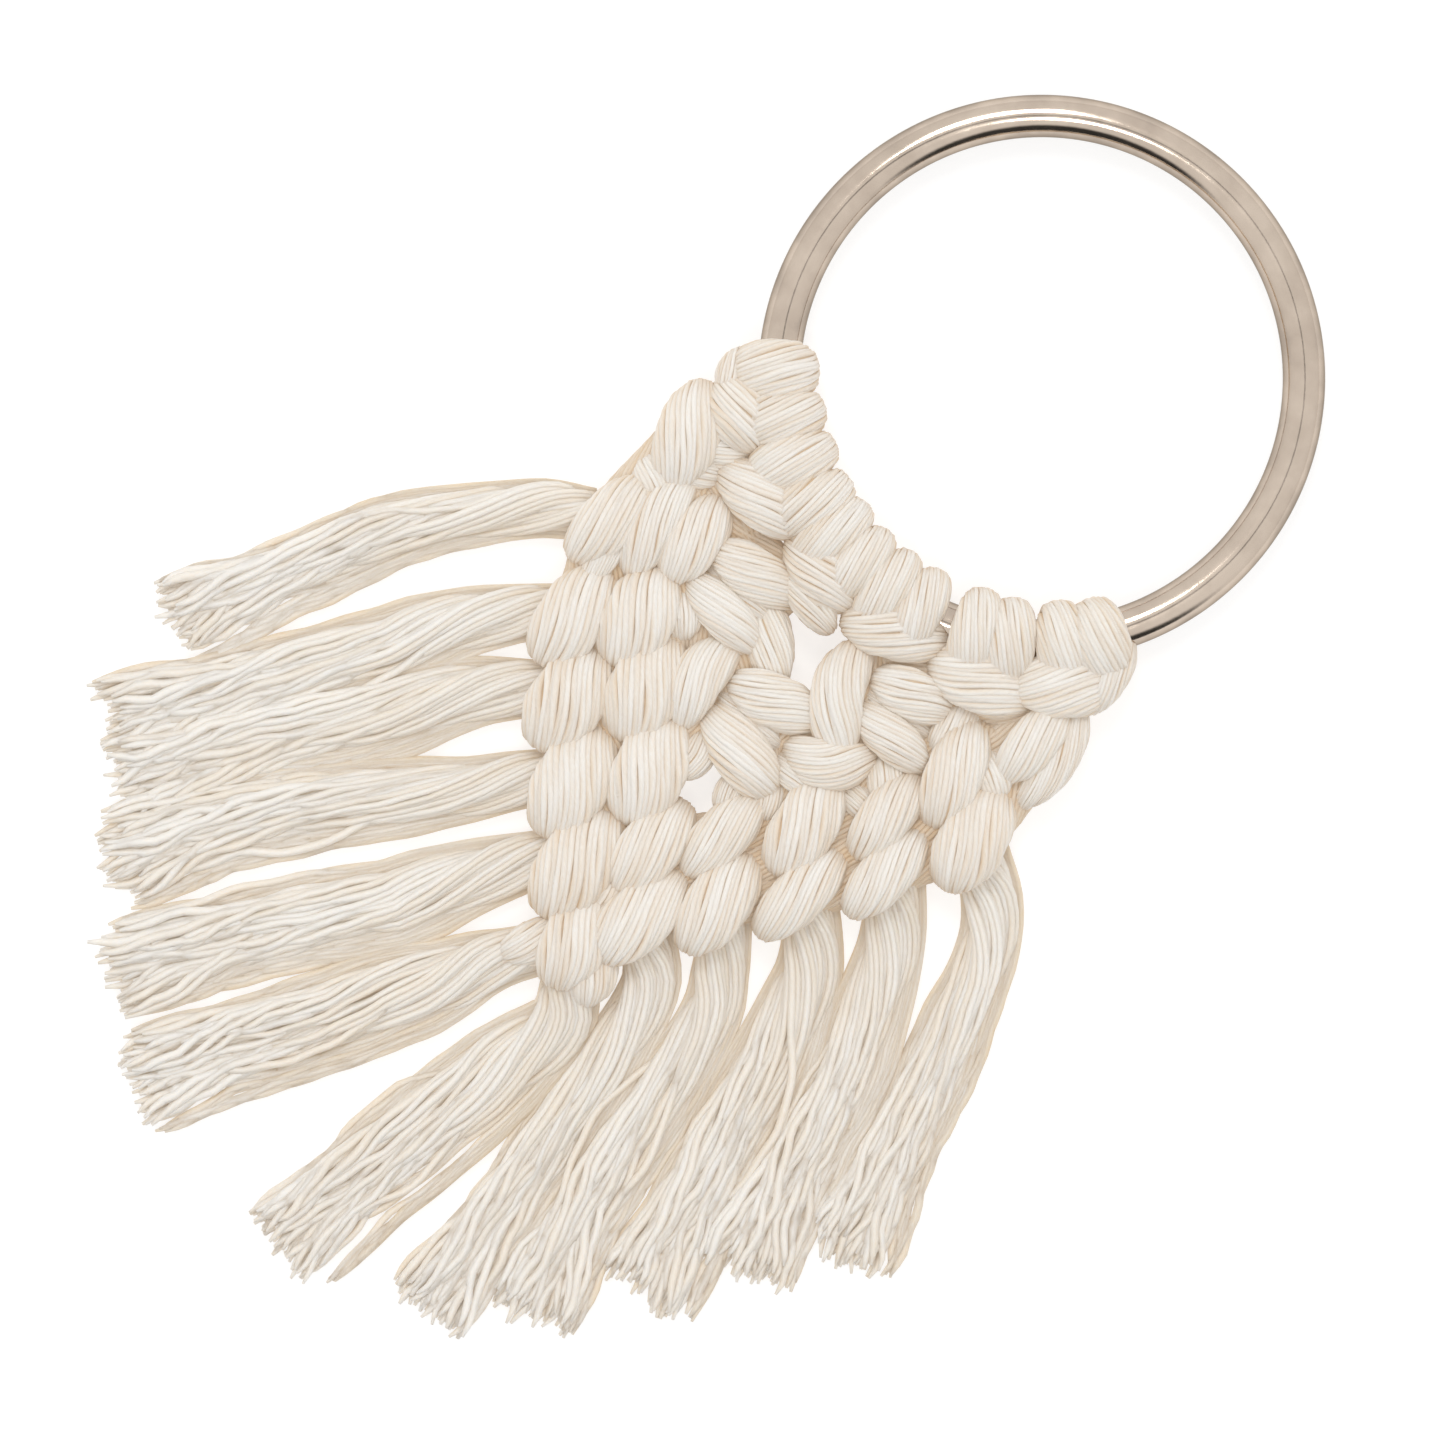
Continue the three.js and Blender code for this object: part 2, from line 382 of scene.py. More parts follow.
class Strands:
    """Collects yarns as tubes, then makes one mesh of them."""

    def __init__(self):
        self.vertices, self.quads, self.caps = [], [], []
        self.crease, self.tone, self.along = [], [], []
        self.count = 0

    def add(self, centres, radii, across, crease, tone, outward, sides=YARN_SIDES,
            closed_shift=None, groove_shade=GROOVE_SHADE):
        """centres: (yarns, steps, 3) millimetres. radii, crease: (yarns, steps), where radii may be a
        pair, along across and square to it, and crease is the painted shade in creases and low places.
        tone: (yarns,).
        across: a direction that no yarn runs along. outward: (yarns, steps, 3), which way is out of
        the cord. closed_shift: the end of yarn i runs on into the start of yarn i + closed_shift.
        Without it the ends are closed by caps. groove_shade: how much painted shade darkens a yarn's
        sides."""
        tangent = directions(centres, closed_shift)
        side = across - (tangent * across).sum(2, keepdims=True) * tangent
        side /= np.linalg.norm(side, axis=2, keepdims=True)
        up = np.cross(tangent, side)
        turn = np.arange(sides) * 2 * math.pi / sides
        cos, sin = np.cos(turn), np.sin(turn)
        around = side[:, :, None] * cos[:, None] + up[:, :, None] * sin[:, None]
        aside, above = radii if isinstance(radii, tuple) else (radii, radii)
        points = (
            centres[:, :, None]
            + side[:, :, None] * cos[:, None] * aside[:, :, None, None]
            + up[:, :, None] * sin[:, None] * above[:, :, None, None]
        )
        self.add_faces(points.shape[:3], closed_shift)
        self.vertices.append(points.reshape(-1, 3))
        self.along.append(fibre_places(centres, turn))
        # painted shade: the sides of a yarn, which lie deeper than its crest, are coloured darker
        facing = (around * outward[:, :, None]).sum(3)
        side_shade = groove_shade * np.clip(CREST_FACING - facing, 0, 1)
        self.crease.append((crease[:, :, None] + side_shade).reshape(-1))
        self.tone.append(np.broadcast_to(tone[:, None, None], points.shape[:3]).reshape(-1))

    def add_faces(self, shape, closed_shift):
        """Faces for tubes of (yarns, steps, sides) points."""
        index = self.count + np.arange(math.prod(shape)).reshape(shape)
        self.count += math.prod(shape)
        if closed_shift is None:
            near, far = index[:, :-1], index[:, 1:]
            self.caps.append(index[:, 0, ::-1])
            self.caps.append(index[:, -1])
        else:
            near, far = index, one_ahead(index, closed_shift)
        quads = np.stack([near, np.roll(near, -1, 2), np.roll(far, -1, 2), far], -1)
        self.quads.append(quads.reshape(-1, 4))

    def piece(self, name, material):
        faces = np.concatenate(self.quads).tolist()
        for caps in self.caps:
            faces.extend(caps.tolist())
        return smooth_object(
            name, np.concatenate(self.vertices), faces, material,
            crease=np.concatenate(self.crease),
            tone=np.concatenate(self.tone),
            along_yarn=np.concatenate(self.along),
        )


def even_angles(count, ratio):
    """Angles that lie evenly along the edge of an ellipse whose width is ratio times its height."""
    angle = np.linspace(0, 2 * math.pi, 361)
    step = np.hypot(ratio * np.diff(np.cos(angle)), np.diff(np.sin(angle)))
    travelled = np.concatenate([[0], np.cumsum(step)])
    return np.interp(np.arange(count) / count * travelled[-1], travelled, angle)


def resampled(points, steps, closed, sparse=None):
    """A polyline's points again, evenly spaced, and its length. In a closed one, the points where
    sparse is true lie further apart, and the length is followed by the fraction of it so far."""
    points = np.asarray(points, float)
    if closed:
        points = np.concatenate([points, points[:1]])
    step = np.linalg.norm(np.diff(points, axis=0), axis=1)
    travelled = np.concatenate([[0], np.cumsum(step)])
    measure = travelled
    if sparse is not None:
        measure = np.concatenate([[0], np.cumsum(step * np.where(sparse, UNDERSIDE, 1))])
    wanted = np.linspace(0, measure[-1], steps + 1 if closed else steps)
    wanted = wanted[:-1] if closed else wanted
    even = np.stack([np.interp(wanted, measure, points[:, k]) for k in range(points.shape[1])], 1)
    if sparse is None:
        return even, travelled[-1]
    return even, travelled[-1], np.interp(wanted, measure, travelled) / travelled[-1]


# How far the yarns of a loop differ from even ones. The first and the last are in yarns.
YARN_JITTER = 0.26
YARN_SWELL = (0.86, 1.16)
TWIST_VARIETY = (0.86, 1.2)
WOBBLE = 0.035
LOOSE_WAVES = 3.2
LOOSE_YARNS = 0.26

EDGE_STEPS = 720
YARN_FILL = 0.75  # a yarn's radius, as a share of the room that it has along the cord's edge
LOW_REACH = 3.6  # painted shade deepens the colour over so much height, low down
# how much painted shade the lowest parts of a loop get
LOW_SHADE = 0.66
# how much painted shade a lobe's sides get against its crest
LOBE_SIDE_SHADE = 0.1


def loop_sides(path, across, outward_from):
    """Along, across and out of a closed path, at each of its points."""
    tangent = np.roll(path, -1, 0) - np.roll(path, 1, 0)
    tangent /= np.linalg.norm(tangent, axis=1, keepdims=True)
    lateral = across - (tangent @ across)[:, None] * tangent
    lateral /= np.linalg.norm(lateral, axis=1, keepdims=True)
    outward = np.cross(lateral, tangent)
    if ((path - outward_from) * outward).sum() < 0:
        outward = -outward
    return tangent, lateral, outward


def loop_yarns(rng, fraction, shift):
    """Where a closed loop's yarns lie round the cord's edge (0 to 1), their girth, how far they
    stand out and their tones. Each ends where the yarn shift places further on begins."""
    jitter = rng.uniform(-YARN_JITTER, YARN_JITTER, CORD_YARNS)
    swell = rng.uniform(*YARN_SWELL, CORD_YARNS)
    phase = rng.uniform(0, 2 * math.pi, (CORD_YARNS, 1))
    tone = rng.uniform(0, 1, CORD_YARNS)
    yarn = np.arange(CORD_YARNS)[:, None]
    following = (np.arange(CORD_YARNS) + shift) % CORD_YARNS
    blend = fraction**2 * (3 - 2 * fraction)
    own = jitter[:, None] * (1 - blend) + jitter[following][:, None] * blend
    girth = swell[:, None] * (1 - blend) + swell[following][:, None] * blend
    looseness = LOOSE_YARNS * np.sin(math.pi * fraction) ** 2
    own = own + looseness * np.sin(2 * math.pi * LOOSE_WAVES * fraction + phase)
    place_round = (yarn + own) / CORD_YARNS + shift / CORD_YARNS * fraction
    wobble = 1 + WOBBLE * np.sin(2 * math.pi * (3 * fraction + 0.37 * yarn))
    return place_round % 1.0, girth, wobble, tone


def add_loop(strands, rng, path, across, outward_from, width, thickness, crease_floor,
             depth=LOBE_SIDE_SHADE):
    """A closed loop of cord. path: (n, 3) points once round. across: the loop plane's normal.
    outward_from: the loop's middle. width and thickness are functions of the path's points.
    crease_floor: the height below which painted shade deepens the colour. depth: how much painted shade
    the sides of the cord get against its crest."""
    underneath = path[:, 2] < path[:, 2].mean() - 1
    path, length, fraction = resampled(path, LOOP_STEPS, closed=True, sparse=underneath)
    tangent, lateral, outward = loop_sides(path, across, outward_from)
    shift = round(CORD_YARNS * length / (TWIST_PITCH * rng.uniform(*TWIST_VARIETY)))
    place_round, girth, wobble, tone = loop_yarns(rng, fraction[None], shift)
    w, t = width(path), thickness(path)
    edge = even_angles(EDGE_STEPS, float(np.median(w / t)))
    handed = np.sign(np.dot(np.cross(lateral[0], outward[0]), tangent[0]))
    angle = np.interp(place_round, np.arange(EDGE_STEPS) / EDGE_STEPS, edge) * -handed
    reach_across = (w / 2 - YARN_RADIUS)[None]
    reach_out = (t / 2 - YARN_RADIUS)[None]
    centres = (
        path[None]
        + lateral[None] * (np.cos(angle) * (reach_across * wobble))[:, :, None]
        + outward[None] * (np.sin(angle) * (reach_out * wobble))[:, :, None]
    )
    perimeter = math.pi * (w / 2 + t / 2 - 2 * YARN_RADIUS)
    radii = girth * (perimeter / CORD_YARNS * YARN_FILL)[None]
    # painted shade, darker on the cord's sides and on its low parts
    low = np.clip((crease_floor - centres[:, :, 2]) / LOW_REACH, 0, 1)
    crease = depth * (1 - np.sin(angle)) + LOW_SHADE * low
    away = centres - path[None]
    away /= np.linalg.norm(away, axis=2, keepdims=True)
    strands.add(centres, radii, across, crease, tone, away, closed_shift=shift)
    add_core(strands, path, (reach_across, reach_out), across, outward, closed_shift=0)


def add_core(strands, path, radii, across, outward, closed_shift=None):
    """The plain core of a cord, coloured as painted shade, which closes the gaps between its yarns."""
    # painted shade: the core gets a full crease shade and the darkest tone
    core_shade = np.full((1, len(path)), CORE_SHADE)
    strands.add(path[None], radii, across, core_shade, np.ones(1), outward[None], sides=CORE_SIDES,
                closed_shift=closed_shift)


# ---------------------------------------------------------------- knotted panel

LOOP_TOP, LOOP_FOOT = 8.1, 0.15
LOOP_ANGLE = np.linspace(0, 2 * math.pi, 240, endpoint=False)
LOBE_THICKNESS = 3.4
LOBE_ROUNDNESS = 0.7  # a narrow lobe is no thicker than so much of its width
LOBE_FOOT = 2.2
LOBE_GROWTH = 1.12
LOBE_TAPER = 0.38
LOBE_TILT = 0.45
LOBE_INSET = 0.36  # how far the middle line ends inside the lobe, in thicknesses
LOBE_BLEND = 1.4  # painted shade deepens the colour from so far below the top
LOBE_VARIETY = {"lean": (-2.5, 2.5), "width": (0.97, 1.04), "top": (-0.2, 0.15)}
WRAP_THICKNESS = 3.2
WRAP_GROWTH = 1.16
WRAP_TAPER = 0.26
WRAP_SIDE_SHADE = 0.2
WRAP_OUTER = 1.5  # how far a wrap's middle line passes outside the wire
WRAP_BLEND = 3.6  # painted shade deepens the colour from so far above the wire's middle


def squared(value, power):
    """A cosine or sine made fuller, so that a round path gets squarer."""
    return np.sign(value) * np.abs(value) ** power


def add_lobe(strands, rng, x, y, length, width, lean, bow=0.0, top=LOOP_TOP):
    """One turn of cord round what it holds. x, y: its middle; lean: degrees anticlockwise from +Y;
    bow: how far its middle bulges to its right; top: its highest point."""
    lean = math.radians(lean + rng.uniform(*LOBE_VARIETY["lean"]))
    run = np.array([-math.sin(lean), math.cos(lean), 0])
    across = np.array([math.cos(lean), math.sin(lean), 0])
    width *= LOBE_GROWTH * rng.uniform(*LOBE_VARIETY["width"])
    top += rng.uniform(*LOBE_VARIETY["top"])
    thickness = min(LOBE_THICKNESS, width * LOBE_ROUNDNESS)
    foot = min(thickness, LOBE_FOOT)
    reach = length / 2 - thickness * LOBE_INSET
    high, low = top - thickness / 2, LOOP_FOOT + foot / 2
    middle = (high + low) / 2
    ends = squared(np.cos(LOOP_ANGLE), 0.88)
    rise = squared(np.sin(LOOP_ANGLE), 0.82)
    path = np.array([x, y, 0]) + ends[:, None] * run * reach
    path = path + across * (bow * (1 - ends**2))[:, None]
    path[:, 2] = middle + (high - low) / 2 * rise - LOBE_TILT * ends * rise.clip(0)
    centre = np.array([x, y, middle])

    def wide(points):
        along = np.abs((points - centre) @ run) / reach
        return width * (1 - LOBE_TAPER * along**3)

    def thick(points):
        level = np.clip((points[:, 2] - low) / (high - low), 0, 1)
        return foot + (thickness - foot) * level

    add_loop(strands, rng, path, across, centre, wide, thick, top - LOBE_BLEND)


def add_wrap(strands, rng, degrees, inner_reach, width):
    """One wrap of cord round the wire. degrees: from straight down, + to the right. inner_reach:
    how near the ring's centre it comes."""
    turn = math.radians(degrees)
    radial = np.array([math.sin(turn), -math.cos(turn), 0])
    across = np.array([math.cos(turn), math.sin(turn), 0])
    upper = WRAP_THICKNESS
    under = WIRE_HEIGHT - WIRE_RADIUS - LOOP_FOOT
    inner = RING_RADIUS - inner_reach
    side = inner - WIRE_RADIUS
    cos, sin = np.cos(LOOP_ANGLE), np.sin(LOOP_ANGLE)
    reach = np.where(cos > 0, WIRE_RADIUS + WRAP_OUTER, inner - side / 2)
    outward = reach * squared(cos, 0.9)
    height = np.where(sin > 0, WIRE_RADIUS + upper / 2, WIRE_RADIUS + under / 2) * squared(sin, 0.9)
    path = radial * (RING_RADIUS + outward)[:, None]
    path[:, 2] = WIRE_HEIGHT + height
    half = (outward.max() - outward.min()) / 2
    middle = RING_RADIUS + (outward.max() + outward.min()) / 2

    def wide(points):
        along = (np.hypot(points[:, 0], points[:, 1]) - middle) / half
        return width * WRAP_GROWTH * (1 - WRAP_TAPER * np.abs(along) ** 3)

    def thick(points):
        level = np.clip((points[:, 2] - under) / (WIRE_HEIGHT + WIRE_RADIUS - under), 0, 1)
        return under + (upper - under) * level

    centre = radial * RING_RADIUS + np.array([0, 0, WIRE_HEIGHT])
    add_loop(strands, rng, path, across, centre, wide, thick, WIRE_HEIGHT + WRAP_BLEND, WRAP_SIDE_SHADE)


RUN_STEP = 1.6
RUN_FILL = 0.64  # a yarn's radius, as YARN_FILL
# painted shade over all of a holding cord, which lies low among the knots
RUN_SHADE = 0.5
UP = np.array([0.0, 0, 1])


def add_run(strands, rng, points, width, thickness):
    """A stretch of cord that isn't a loop, such as a holding cord inside the knots."""
    smooth = spline(points, 8)
    steps = max(12, round(length_of(smooth) / RUN_STEP))
    path, length = resampled(smooth, steps, closed=False)
    tangent = np.gradient(path, axis=0)
    tangent /= np.linalg.norm(tangent, axis=1, keepdims=True)
    lateral = np.cross(tangent, UP)
    lateral /= np.linalg.norm(lateral, axis=1, keepdims=True)
    above = np.cross(lateral, tangent)
    yarn = np.arange(CORD_YARNS)[:, None]
    turned = np.linspace(0, length / TWIST_PITCH, steps)
    angle = 2 * math.pi * (yarn / CORD_YARNS + turned[None])
    away = lateral[None] * np.cos(angle)[:, :, None] + above[None] * np.sin(angle)[:, :, None]
    reach_across, reach_up = width / 2 - YARN_RADIUS, thickness / 2 - YARN_RADIUS
    centres = (
        path[None]
        + lateral[None] * (np.cos(angle) * reach_across)[:, :, None]
        + above[None] * (np.sin(angle) * reach_up)[:, :, None]
    )
    radius = math.pi * (reach_across + reach_up) / CORD_YARNS * RUN_FILL
    radii = np.full((CORD_YARNS, steps), radius)
    # the holding cord's painted shade
    crease = np.full((CORD_YARNS, steps), RUN_SHADE)
    strands.add(centres, radii, UP, crease, rng.uniform(0, 1, CORD_YARNS), away)
    core = (np.full((1, steps), reach_up), np.full((1, steps), reach_across))
    add_core(strands, path, core, UP, above)


def length_of(points):
    return float(np.linalg.norm(np.diff(points, axis=0), axis=1).sum())


def spline(points, steps_between):
    """A smooth curve through the points, by Catmull and Rom's formula."""
    points = np.asarray(points, float)
    padded = np.concatenate([2 * points[:1] - points[1:2], points, 2 * points[-1:] - points[-2:-1]])
    out = []
    for a, b, c, d in zip(padded, padded[1:], padded[2:], padded[3:]):
        for t in np.arange(steps_between) / steps_between:
            out.append(
                0.5 * (2 * b + (c - a) * t + (2 * a - 5 * b + 4 * c - d) * t**2
                       + (3 * b - a - 3 * c + d) * t**3)
            )
    out.append(points[-1])
    return np.array(out)


# Each lark's head: its two wraps as (degrees from straight down, how near the ring's centre they
# reach, width), and the bar and other lobes as (x, y, length, width, lean, bow, top).
LARKS_HEADS = [
    ([(-51.6, 23.4, 5.4), (-41.5, 22.4, 4.8)],
     [(-21.4, -22.6, 8.6, 5.8, 64, 0, 8.4), (-24.7, -20.0, 5.6, 3.4, 15, 0, 7.0)]),
    ([(-31.8, 21.9, 4.6), (-21.6, 22.0, 4.7)],
     [(-14.2, -28.2, 10.8, 5.3, 88, 0, 8.4)]),
    ([(-13.5, 21.6, 4.2), (-4.7, 21.9, 4.1)],
     [(-4.6, -29.8, 9.9, 5.4, 79, 0, 8.4), (-4.2, -32.7, 9.4, 3.8, 70, 0, 7.4)]),
    ([(3.7, 21.9, 4.1), (12.2, 22.0, 4.1)],
     [(5.2, -29.8, 11.4, 5.1, -64, 0, 8.4)]),
    ([(25.2, 22.2, 4.5), (33.0, 23.0, 4.5)],
     [(15.3, -28.0, 11.6, 5.6, -73, 0, 8.4)]),
    ([(44.2, 23.4, 4.7), (52.4, 24.0, 5.1)],
     [(22.0, -23.0, 10.6, 5.6, -54, 0, 8.4), (25.0, -19.0, 9.0, 3.8, 12, 0, 7.2)]),
]

KNOTS = {
    "square_knot_left": [
        (-9.6, -34.5, 10.6, 4.7, -86), (-9.6, -39.7, 10.6, 4.4, 79),
        (-9.6, -37.1, 9.4, 2.6, 88, 0, 6.6), (-3.9, -38.9, 9.8, 4.3, 47, 0, 6.8),
        (-12.6, -42.4, 5.4, 3.6, 35, 0, 6.8),
    ],
    "square_knot_right": [
        (6.2, -38.1, 13.0, 4.8, 27, -1.5), (10.7, -33.7, 9.2, 4.6, -77),
        (11.8, -38.4, 10.0, 4.2, 88), (10.9, -36.0, 8.4, 2.6, -85, 0, 6.6),
    ],
    "square_knot_centre": [
        (-6.4, -46.4, 11.0, 4.7, 4, -0.9), (0.4, -43.2, 10.6, 4.9, -76),
        (0.9, -49.5, 11.4, 5.2, 73), (-0.4, -46.4, 8.6, 2.8, 88, 0, 6.6),
        (8.2, -43.7, 9.8, 4.6, -57, 1.2), (6.6, -47.6, 5.4, 3.4, 85, 0, 6.8),
        (-3.0, -53.0, 6.4, 3.4, -6, 0.8, 7.0), (3.1, -53.2, 5.6, 2.8, 8, -0.6, 6.6),
        (6.4, -51.4, 5.0, 3.2, 20, 0, 6.2),
    ],
    "closing_knot": [
        (0.4, -75.2, 11.2, 6.0, 11, 0, 7.4), (4.1, -76.8, 7.0, 4.2, 22, 0, 6.2),
        (-2.4, -77.8, 8.4, 4.2, -32, 0, 5.8), (-0.2, -69.4, 5.0, 4.2, 0, 0, 6.2),
    ],
    "edge_loop_left": [
        (-24.2, -27.9, 11.8, 5.8, 20), (-24.0, -33.4, 5.0, 4.2, 60, 0, 6.8),
        (-20.7, -26.7, 6.2, 3.8, -62, 0, 6.8), (-21.0, -30.0, 5.2, 3.6, -72, 0, 6.8),
    ],
    "edge_loop_right": [(23.5, -29.4, 10.4, 4.6, -3), (25.9, -29.3, 12.4, 3.6, 5, 0.8, 7.2),
                        (22.4, -34.6, 5.4, 4.0, 50, 0, 6.8)],
    "side_cord_left": [(-16.7, -35.7, 10.6, 5.0, 8)],
    "side_cord_right": [
        (16.4, -33.6, 7.4, 4.0, 4, 0, 6.4), (14.2, -42.0, 5.4, 3.6, 32, 0, 6.8),
        (13.4, -45.6, 4.6, 3.0, 80, 0, 6.2),
    ],
    "inner_hitch_left_1": [(-20.4, -37.1, 12.4, 4.6, 6, -0.6)],
    "inner_hitch_left_2": [(-16.0, -45.6, 11.4, 6.4, 12)],
    "inner_hitch_left_3": [(-10.8, -50.8, 12.0, 6.6, 14)],
    "inner_hitch_left_4": [(-5.0, -57.0, 12.2, 6.4, 16)],
    "inner_hitch_left_5": [(0.2, -63.0, 12.0, 5.5, 0)],
    "inner_hitch_right_1": [(19.3, -37.1, 12.0, 5.2, 14)],
    "inner_hitch_right_2": [(16.7, -44.9, 11.0, 4.7, 2)],
    "inner_hitch_right_3": [(10.9, -51.1, 12.0, 5.6, 8)],
    "inner_hitch_right_4": [(5.0, -57.3, 11.4, 4.9, -3)],
    "outer_hitch_left_1": [(-24.7, -39.8, 11.6, 5.4, -5), (-22.9, -42.0, 9.6, 3.2, 3, 0, 7.2)],
    "outer_hitch_left_2": [(-21.3, -49.8, 12.2, 6.3, 2, 0, 7.8)],
    "outer_hitch_left_3": [(-16.2, -56.8, 12.0, 6.6, 8, 0, 7.8)],
    "outer_hitch_left_4": [(-10.4, -63.0, 12.8, 6.6, 14, 0, 7.8)],
    "outer_hitch_left_5": [(-4.6, -69.2, 13.0, 6.6, 10)],
    "outer_hitch_right_1": [(25.1, -41.0, 12.0, 6.0, 9)],
    "outer_hitch_right_2": [(20.5, -49.5, 11.8, 4.8, -4)],
    "outer_hitch_right_3": [(15.1, -56.8, 12.4, 4.8, -3)],
    "outer_hitch_right_4": [(9.2, -63.0, 12.2, 5.7, 3)],
    "outer_hitch_right_5": [(3.9, -69.2, 12.8, 5.9, -6)],
}

# The holding cords, which run down inside the rows of hitches to the point of the V, and the
# cords that run from under the bars to the square knots.
HOLDING_CORDS = {
    "holding_cord_left_outer": [(-24.6, -30), (-24.8, -40), (-21, -49.4), (-15.8, -56.5),
                                (-10, -63), (-4.4, -69), (0, -75)],
    "holding_cord_left_inner": [(-19, -31), (-19.6, -38), (-16.2, -45.4), (-11, -50.8),
                                (-5, -57), (0.5, -63), (3.6, -69)],
    "holding_cord_right_outer": [(24.8, -30), (25.2, -40), (20.6, -49.4), (15.1, -56.8),
                                 (9.2, -63), (3.9, -69), (1, -75)],
    "holding_cord_right_inner": [(19, -31), (19.2, -38), (16.4, -45.4), (10.9, -51.2),
                                 (5, -57.3), (1.5, -61)],
    "filler_cord_left": [(-15.5, -28.5), (-12, -33), (-9.5, -38), (-9, -43), (-6.5, -47),
                         (-6, -51)],
    "filler_cord_right": [(14.5, -28.5), (12, -33), (10.5, -38), (9.5, -43), (8.5, -47),
                          (7.5, -51)],
    "filler_cord_centre_left": [(-6, -30), (-7.4, -34), (-7.4, -38), (-4.6, -43), (-2.2, -46.5),
                                (-3.6, -49.5), (-5.6, -53)],
    "filler_cord_centre_right": [(5.6, -30), (6.8, -34), (6.8, -38), (4.6, -43), (2.4, -46.5),
                                 (3.8, -49.5), (5.6, -53)],
    "filler_cord_rows_left": [(-22, -41), (-18.6, -47.4), (-13.4, -53.8), (-7.8, -60), (-2.6, -66)],
    "filler_cord_rows_right": [(22.2, -41), (18.6, -47.2), (13, -54), (7.2, -60.2), (2.2, -66)],
    "filler_cord_edge_left": [(-23.4, -22), (-22.6, -27), (-21, -31), (-17.5, -35), (-14, -41),
                              (-11.5, -46)],
    "filler_cord_edge_right": [(23.4, -22), (22.6, -27), (21, -31), (17.5, -35), (14, -41),
                               (12, -46)],
    "filler_cord_bar_left": [(-21.5, -27), (-15, -31.5), (-8.5, -32.8), (-4, -33.5)],
    "filler_cord_bar_right": [(21.5, -27), (15, -30.8), (9.5, -31.8), (6, -32.5)],
}
HOLDING = {"width": 5.0, "thickness": 4.2, "height": 3.2}


def make_knotted_panel(cotton):
    rng = np.random.default_rng(20)
    for number, (wraps, lobes) in enumerate(LARKS_HEADS, 1):
        strands = Strands()
        for degrees, inner_reach, width in wraps:
            add_wrap(strands, rng, degrees, inner_reach, width)
        for lobe in lobes:
            add_lobe(strands, rng, *lobe)
        finish_panel_piece(strands, f"cords_larks_head_{number}", cotton, f"larks_head_{number}")
    for node, lobes in KNOTS.items():
        strands = Strands()
        for lobe in lobes:
            add_lobe(strands, rng, *lobe)
        finish_panel_piece(strands, f"cords_{node}", cotton, node)
    for name, route in HOLDING_CORDS.items():
        strands = Strands()
        points = [(x, y, HOLDING["height"]) for x, y in route]
        add_run(strands, rng, points, HOLDING["width"], HOLDING["thickness"])
        finish_panel_piece(strands, name, cotton)


def finish_panel_piece(strands, name, cotton, *nodes):
    piece = strands.piece(name, cotton)
    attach(piece, "knotted_panel")
    if nodes:
        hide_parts(*nodes)


# ---------------------------------------------------------------- tassels

# Each tassel: its root in the knots, its widths, its shifts, and its route from the hinge to the
# tip. The roots and routes are the CAD's. The widths are those at the neck, half way down and at
# the tip, and the shifts are how far the yarns lie to the left of the route at the same places,
# seen from above by someone who walks down the tassel.
TASSELS = {
    "left_1": ((-26.5, -40.6), (5.0, 6.4, 8.8), (0.3, 1.3, 0.9),
               [(-31.2, -43.2), (-36, -47.4), (-41.6, -53.4), (-46.2, -62.5), (-53, -76.5)]),
    "left_2": ((-22.0, -49.6), (4.8, 8.0, 9.6), (0.5, 2.0, 1.4),
               [(-26.4, -53.2), (-31.3, -58), (-37.5, -67.1), (-45.2, -79.4), (-51, -87.9)]),
    "left_3": ((-16.6, -56.0), (5.0, 8.6, 10.0), (0.2, 0.9, 0.5),
               [(-21, -59.2), (-25.1, -63), (-31.3, -71.3), (-39.6, -82.7), (-46.4, -93)]),
    "left_4": ((-10.8, -62.4), (4.8, 7.2, 9.6), (0.1, 0.3, 0.3),
               [(-15, -66.7), (-18.9, -71.3), (-27.1, -79.8), (-36.2, -91), (-41.4, -99.3)]),
    "left_5": ((-5.4, -68.6), (5.0, 9.0, 10.0), (0.7, 2.7, 0.3),
               [(-9.6, -72.6), (-14.7, -78.5), (-20.9, -87), (-28.8, -99.8), (-33.9, -108.6)]),
    "left_6": ((-1.2, -77.6), (4.8, 9.8, 10.8), (-0.5, -2.0, -1.9),
               [(-4.6, -83.5), (-6.6, -89), (-11.4, -98.2), (-17.4, -107.6), (-23, -116.9)]),
    "right_1": ((26.6, -41.4), (5.2, 6.6, 8.4), (-0.2, -0.9, -0.8),
                [(31.2, -44.7), (34.6, -49.4), (37.3, -57), (40.2, -67.1), (43.8, -81.7)]),
    "right_2": ((21.6, -49.0), (5.4, 7.8, 9.4), (-0.2, -1.0, -1.0),
                [(25.4, -53.7), (28, -58.2), (31.7, -67.1), (34.2, -77.5), (37.1, -89.4)]),
    "right_3": ((16.2, -56.4), (5.2, 8.6, 10.8), (0.3, 1.2, 0.8),
                [(19.6, -60.7), (21.5, -65.3), (24.3, -77.5), (26.7, -87.9), (28.8, -98.7)]),
    "right_4": ((10.6, -63.2), (4.8, 6.8, 8.8), (0.3, 0.1, 0.0),
                [(13.6, -68.2), (16.2, -73.6), (18.2, -87.9), (19.7, -98.2), (21.5, -108.1)]),
    "right_5": ((5.2, -69.8), (5.0, 7.0, 8.4), (1.1, 0.7, 0.4),
                [(8.4, -74.5), (10.2, -82.7), (11.4, -93), (12.4, -103.4), (12.9, -114.3)]),
    "right_6": ((2.0, -77.6), (5.4, 10.2, 11.6), (1.9, 1.5, -0.8),
                [(2.9, -83.5), (2, -89), (0.8, -98.2), (-0.2, -110.4), (-1, -118.9)]),
}
TASSEL_STEPS = 36
TASSEL_THICKNESS = (4.0, 2.6, 1.7)
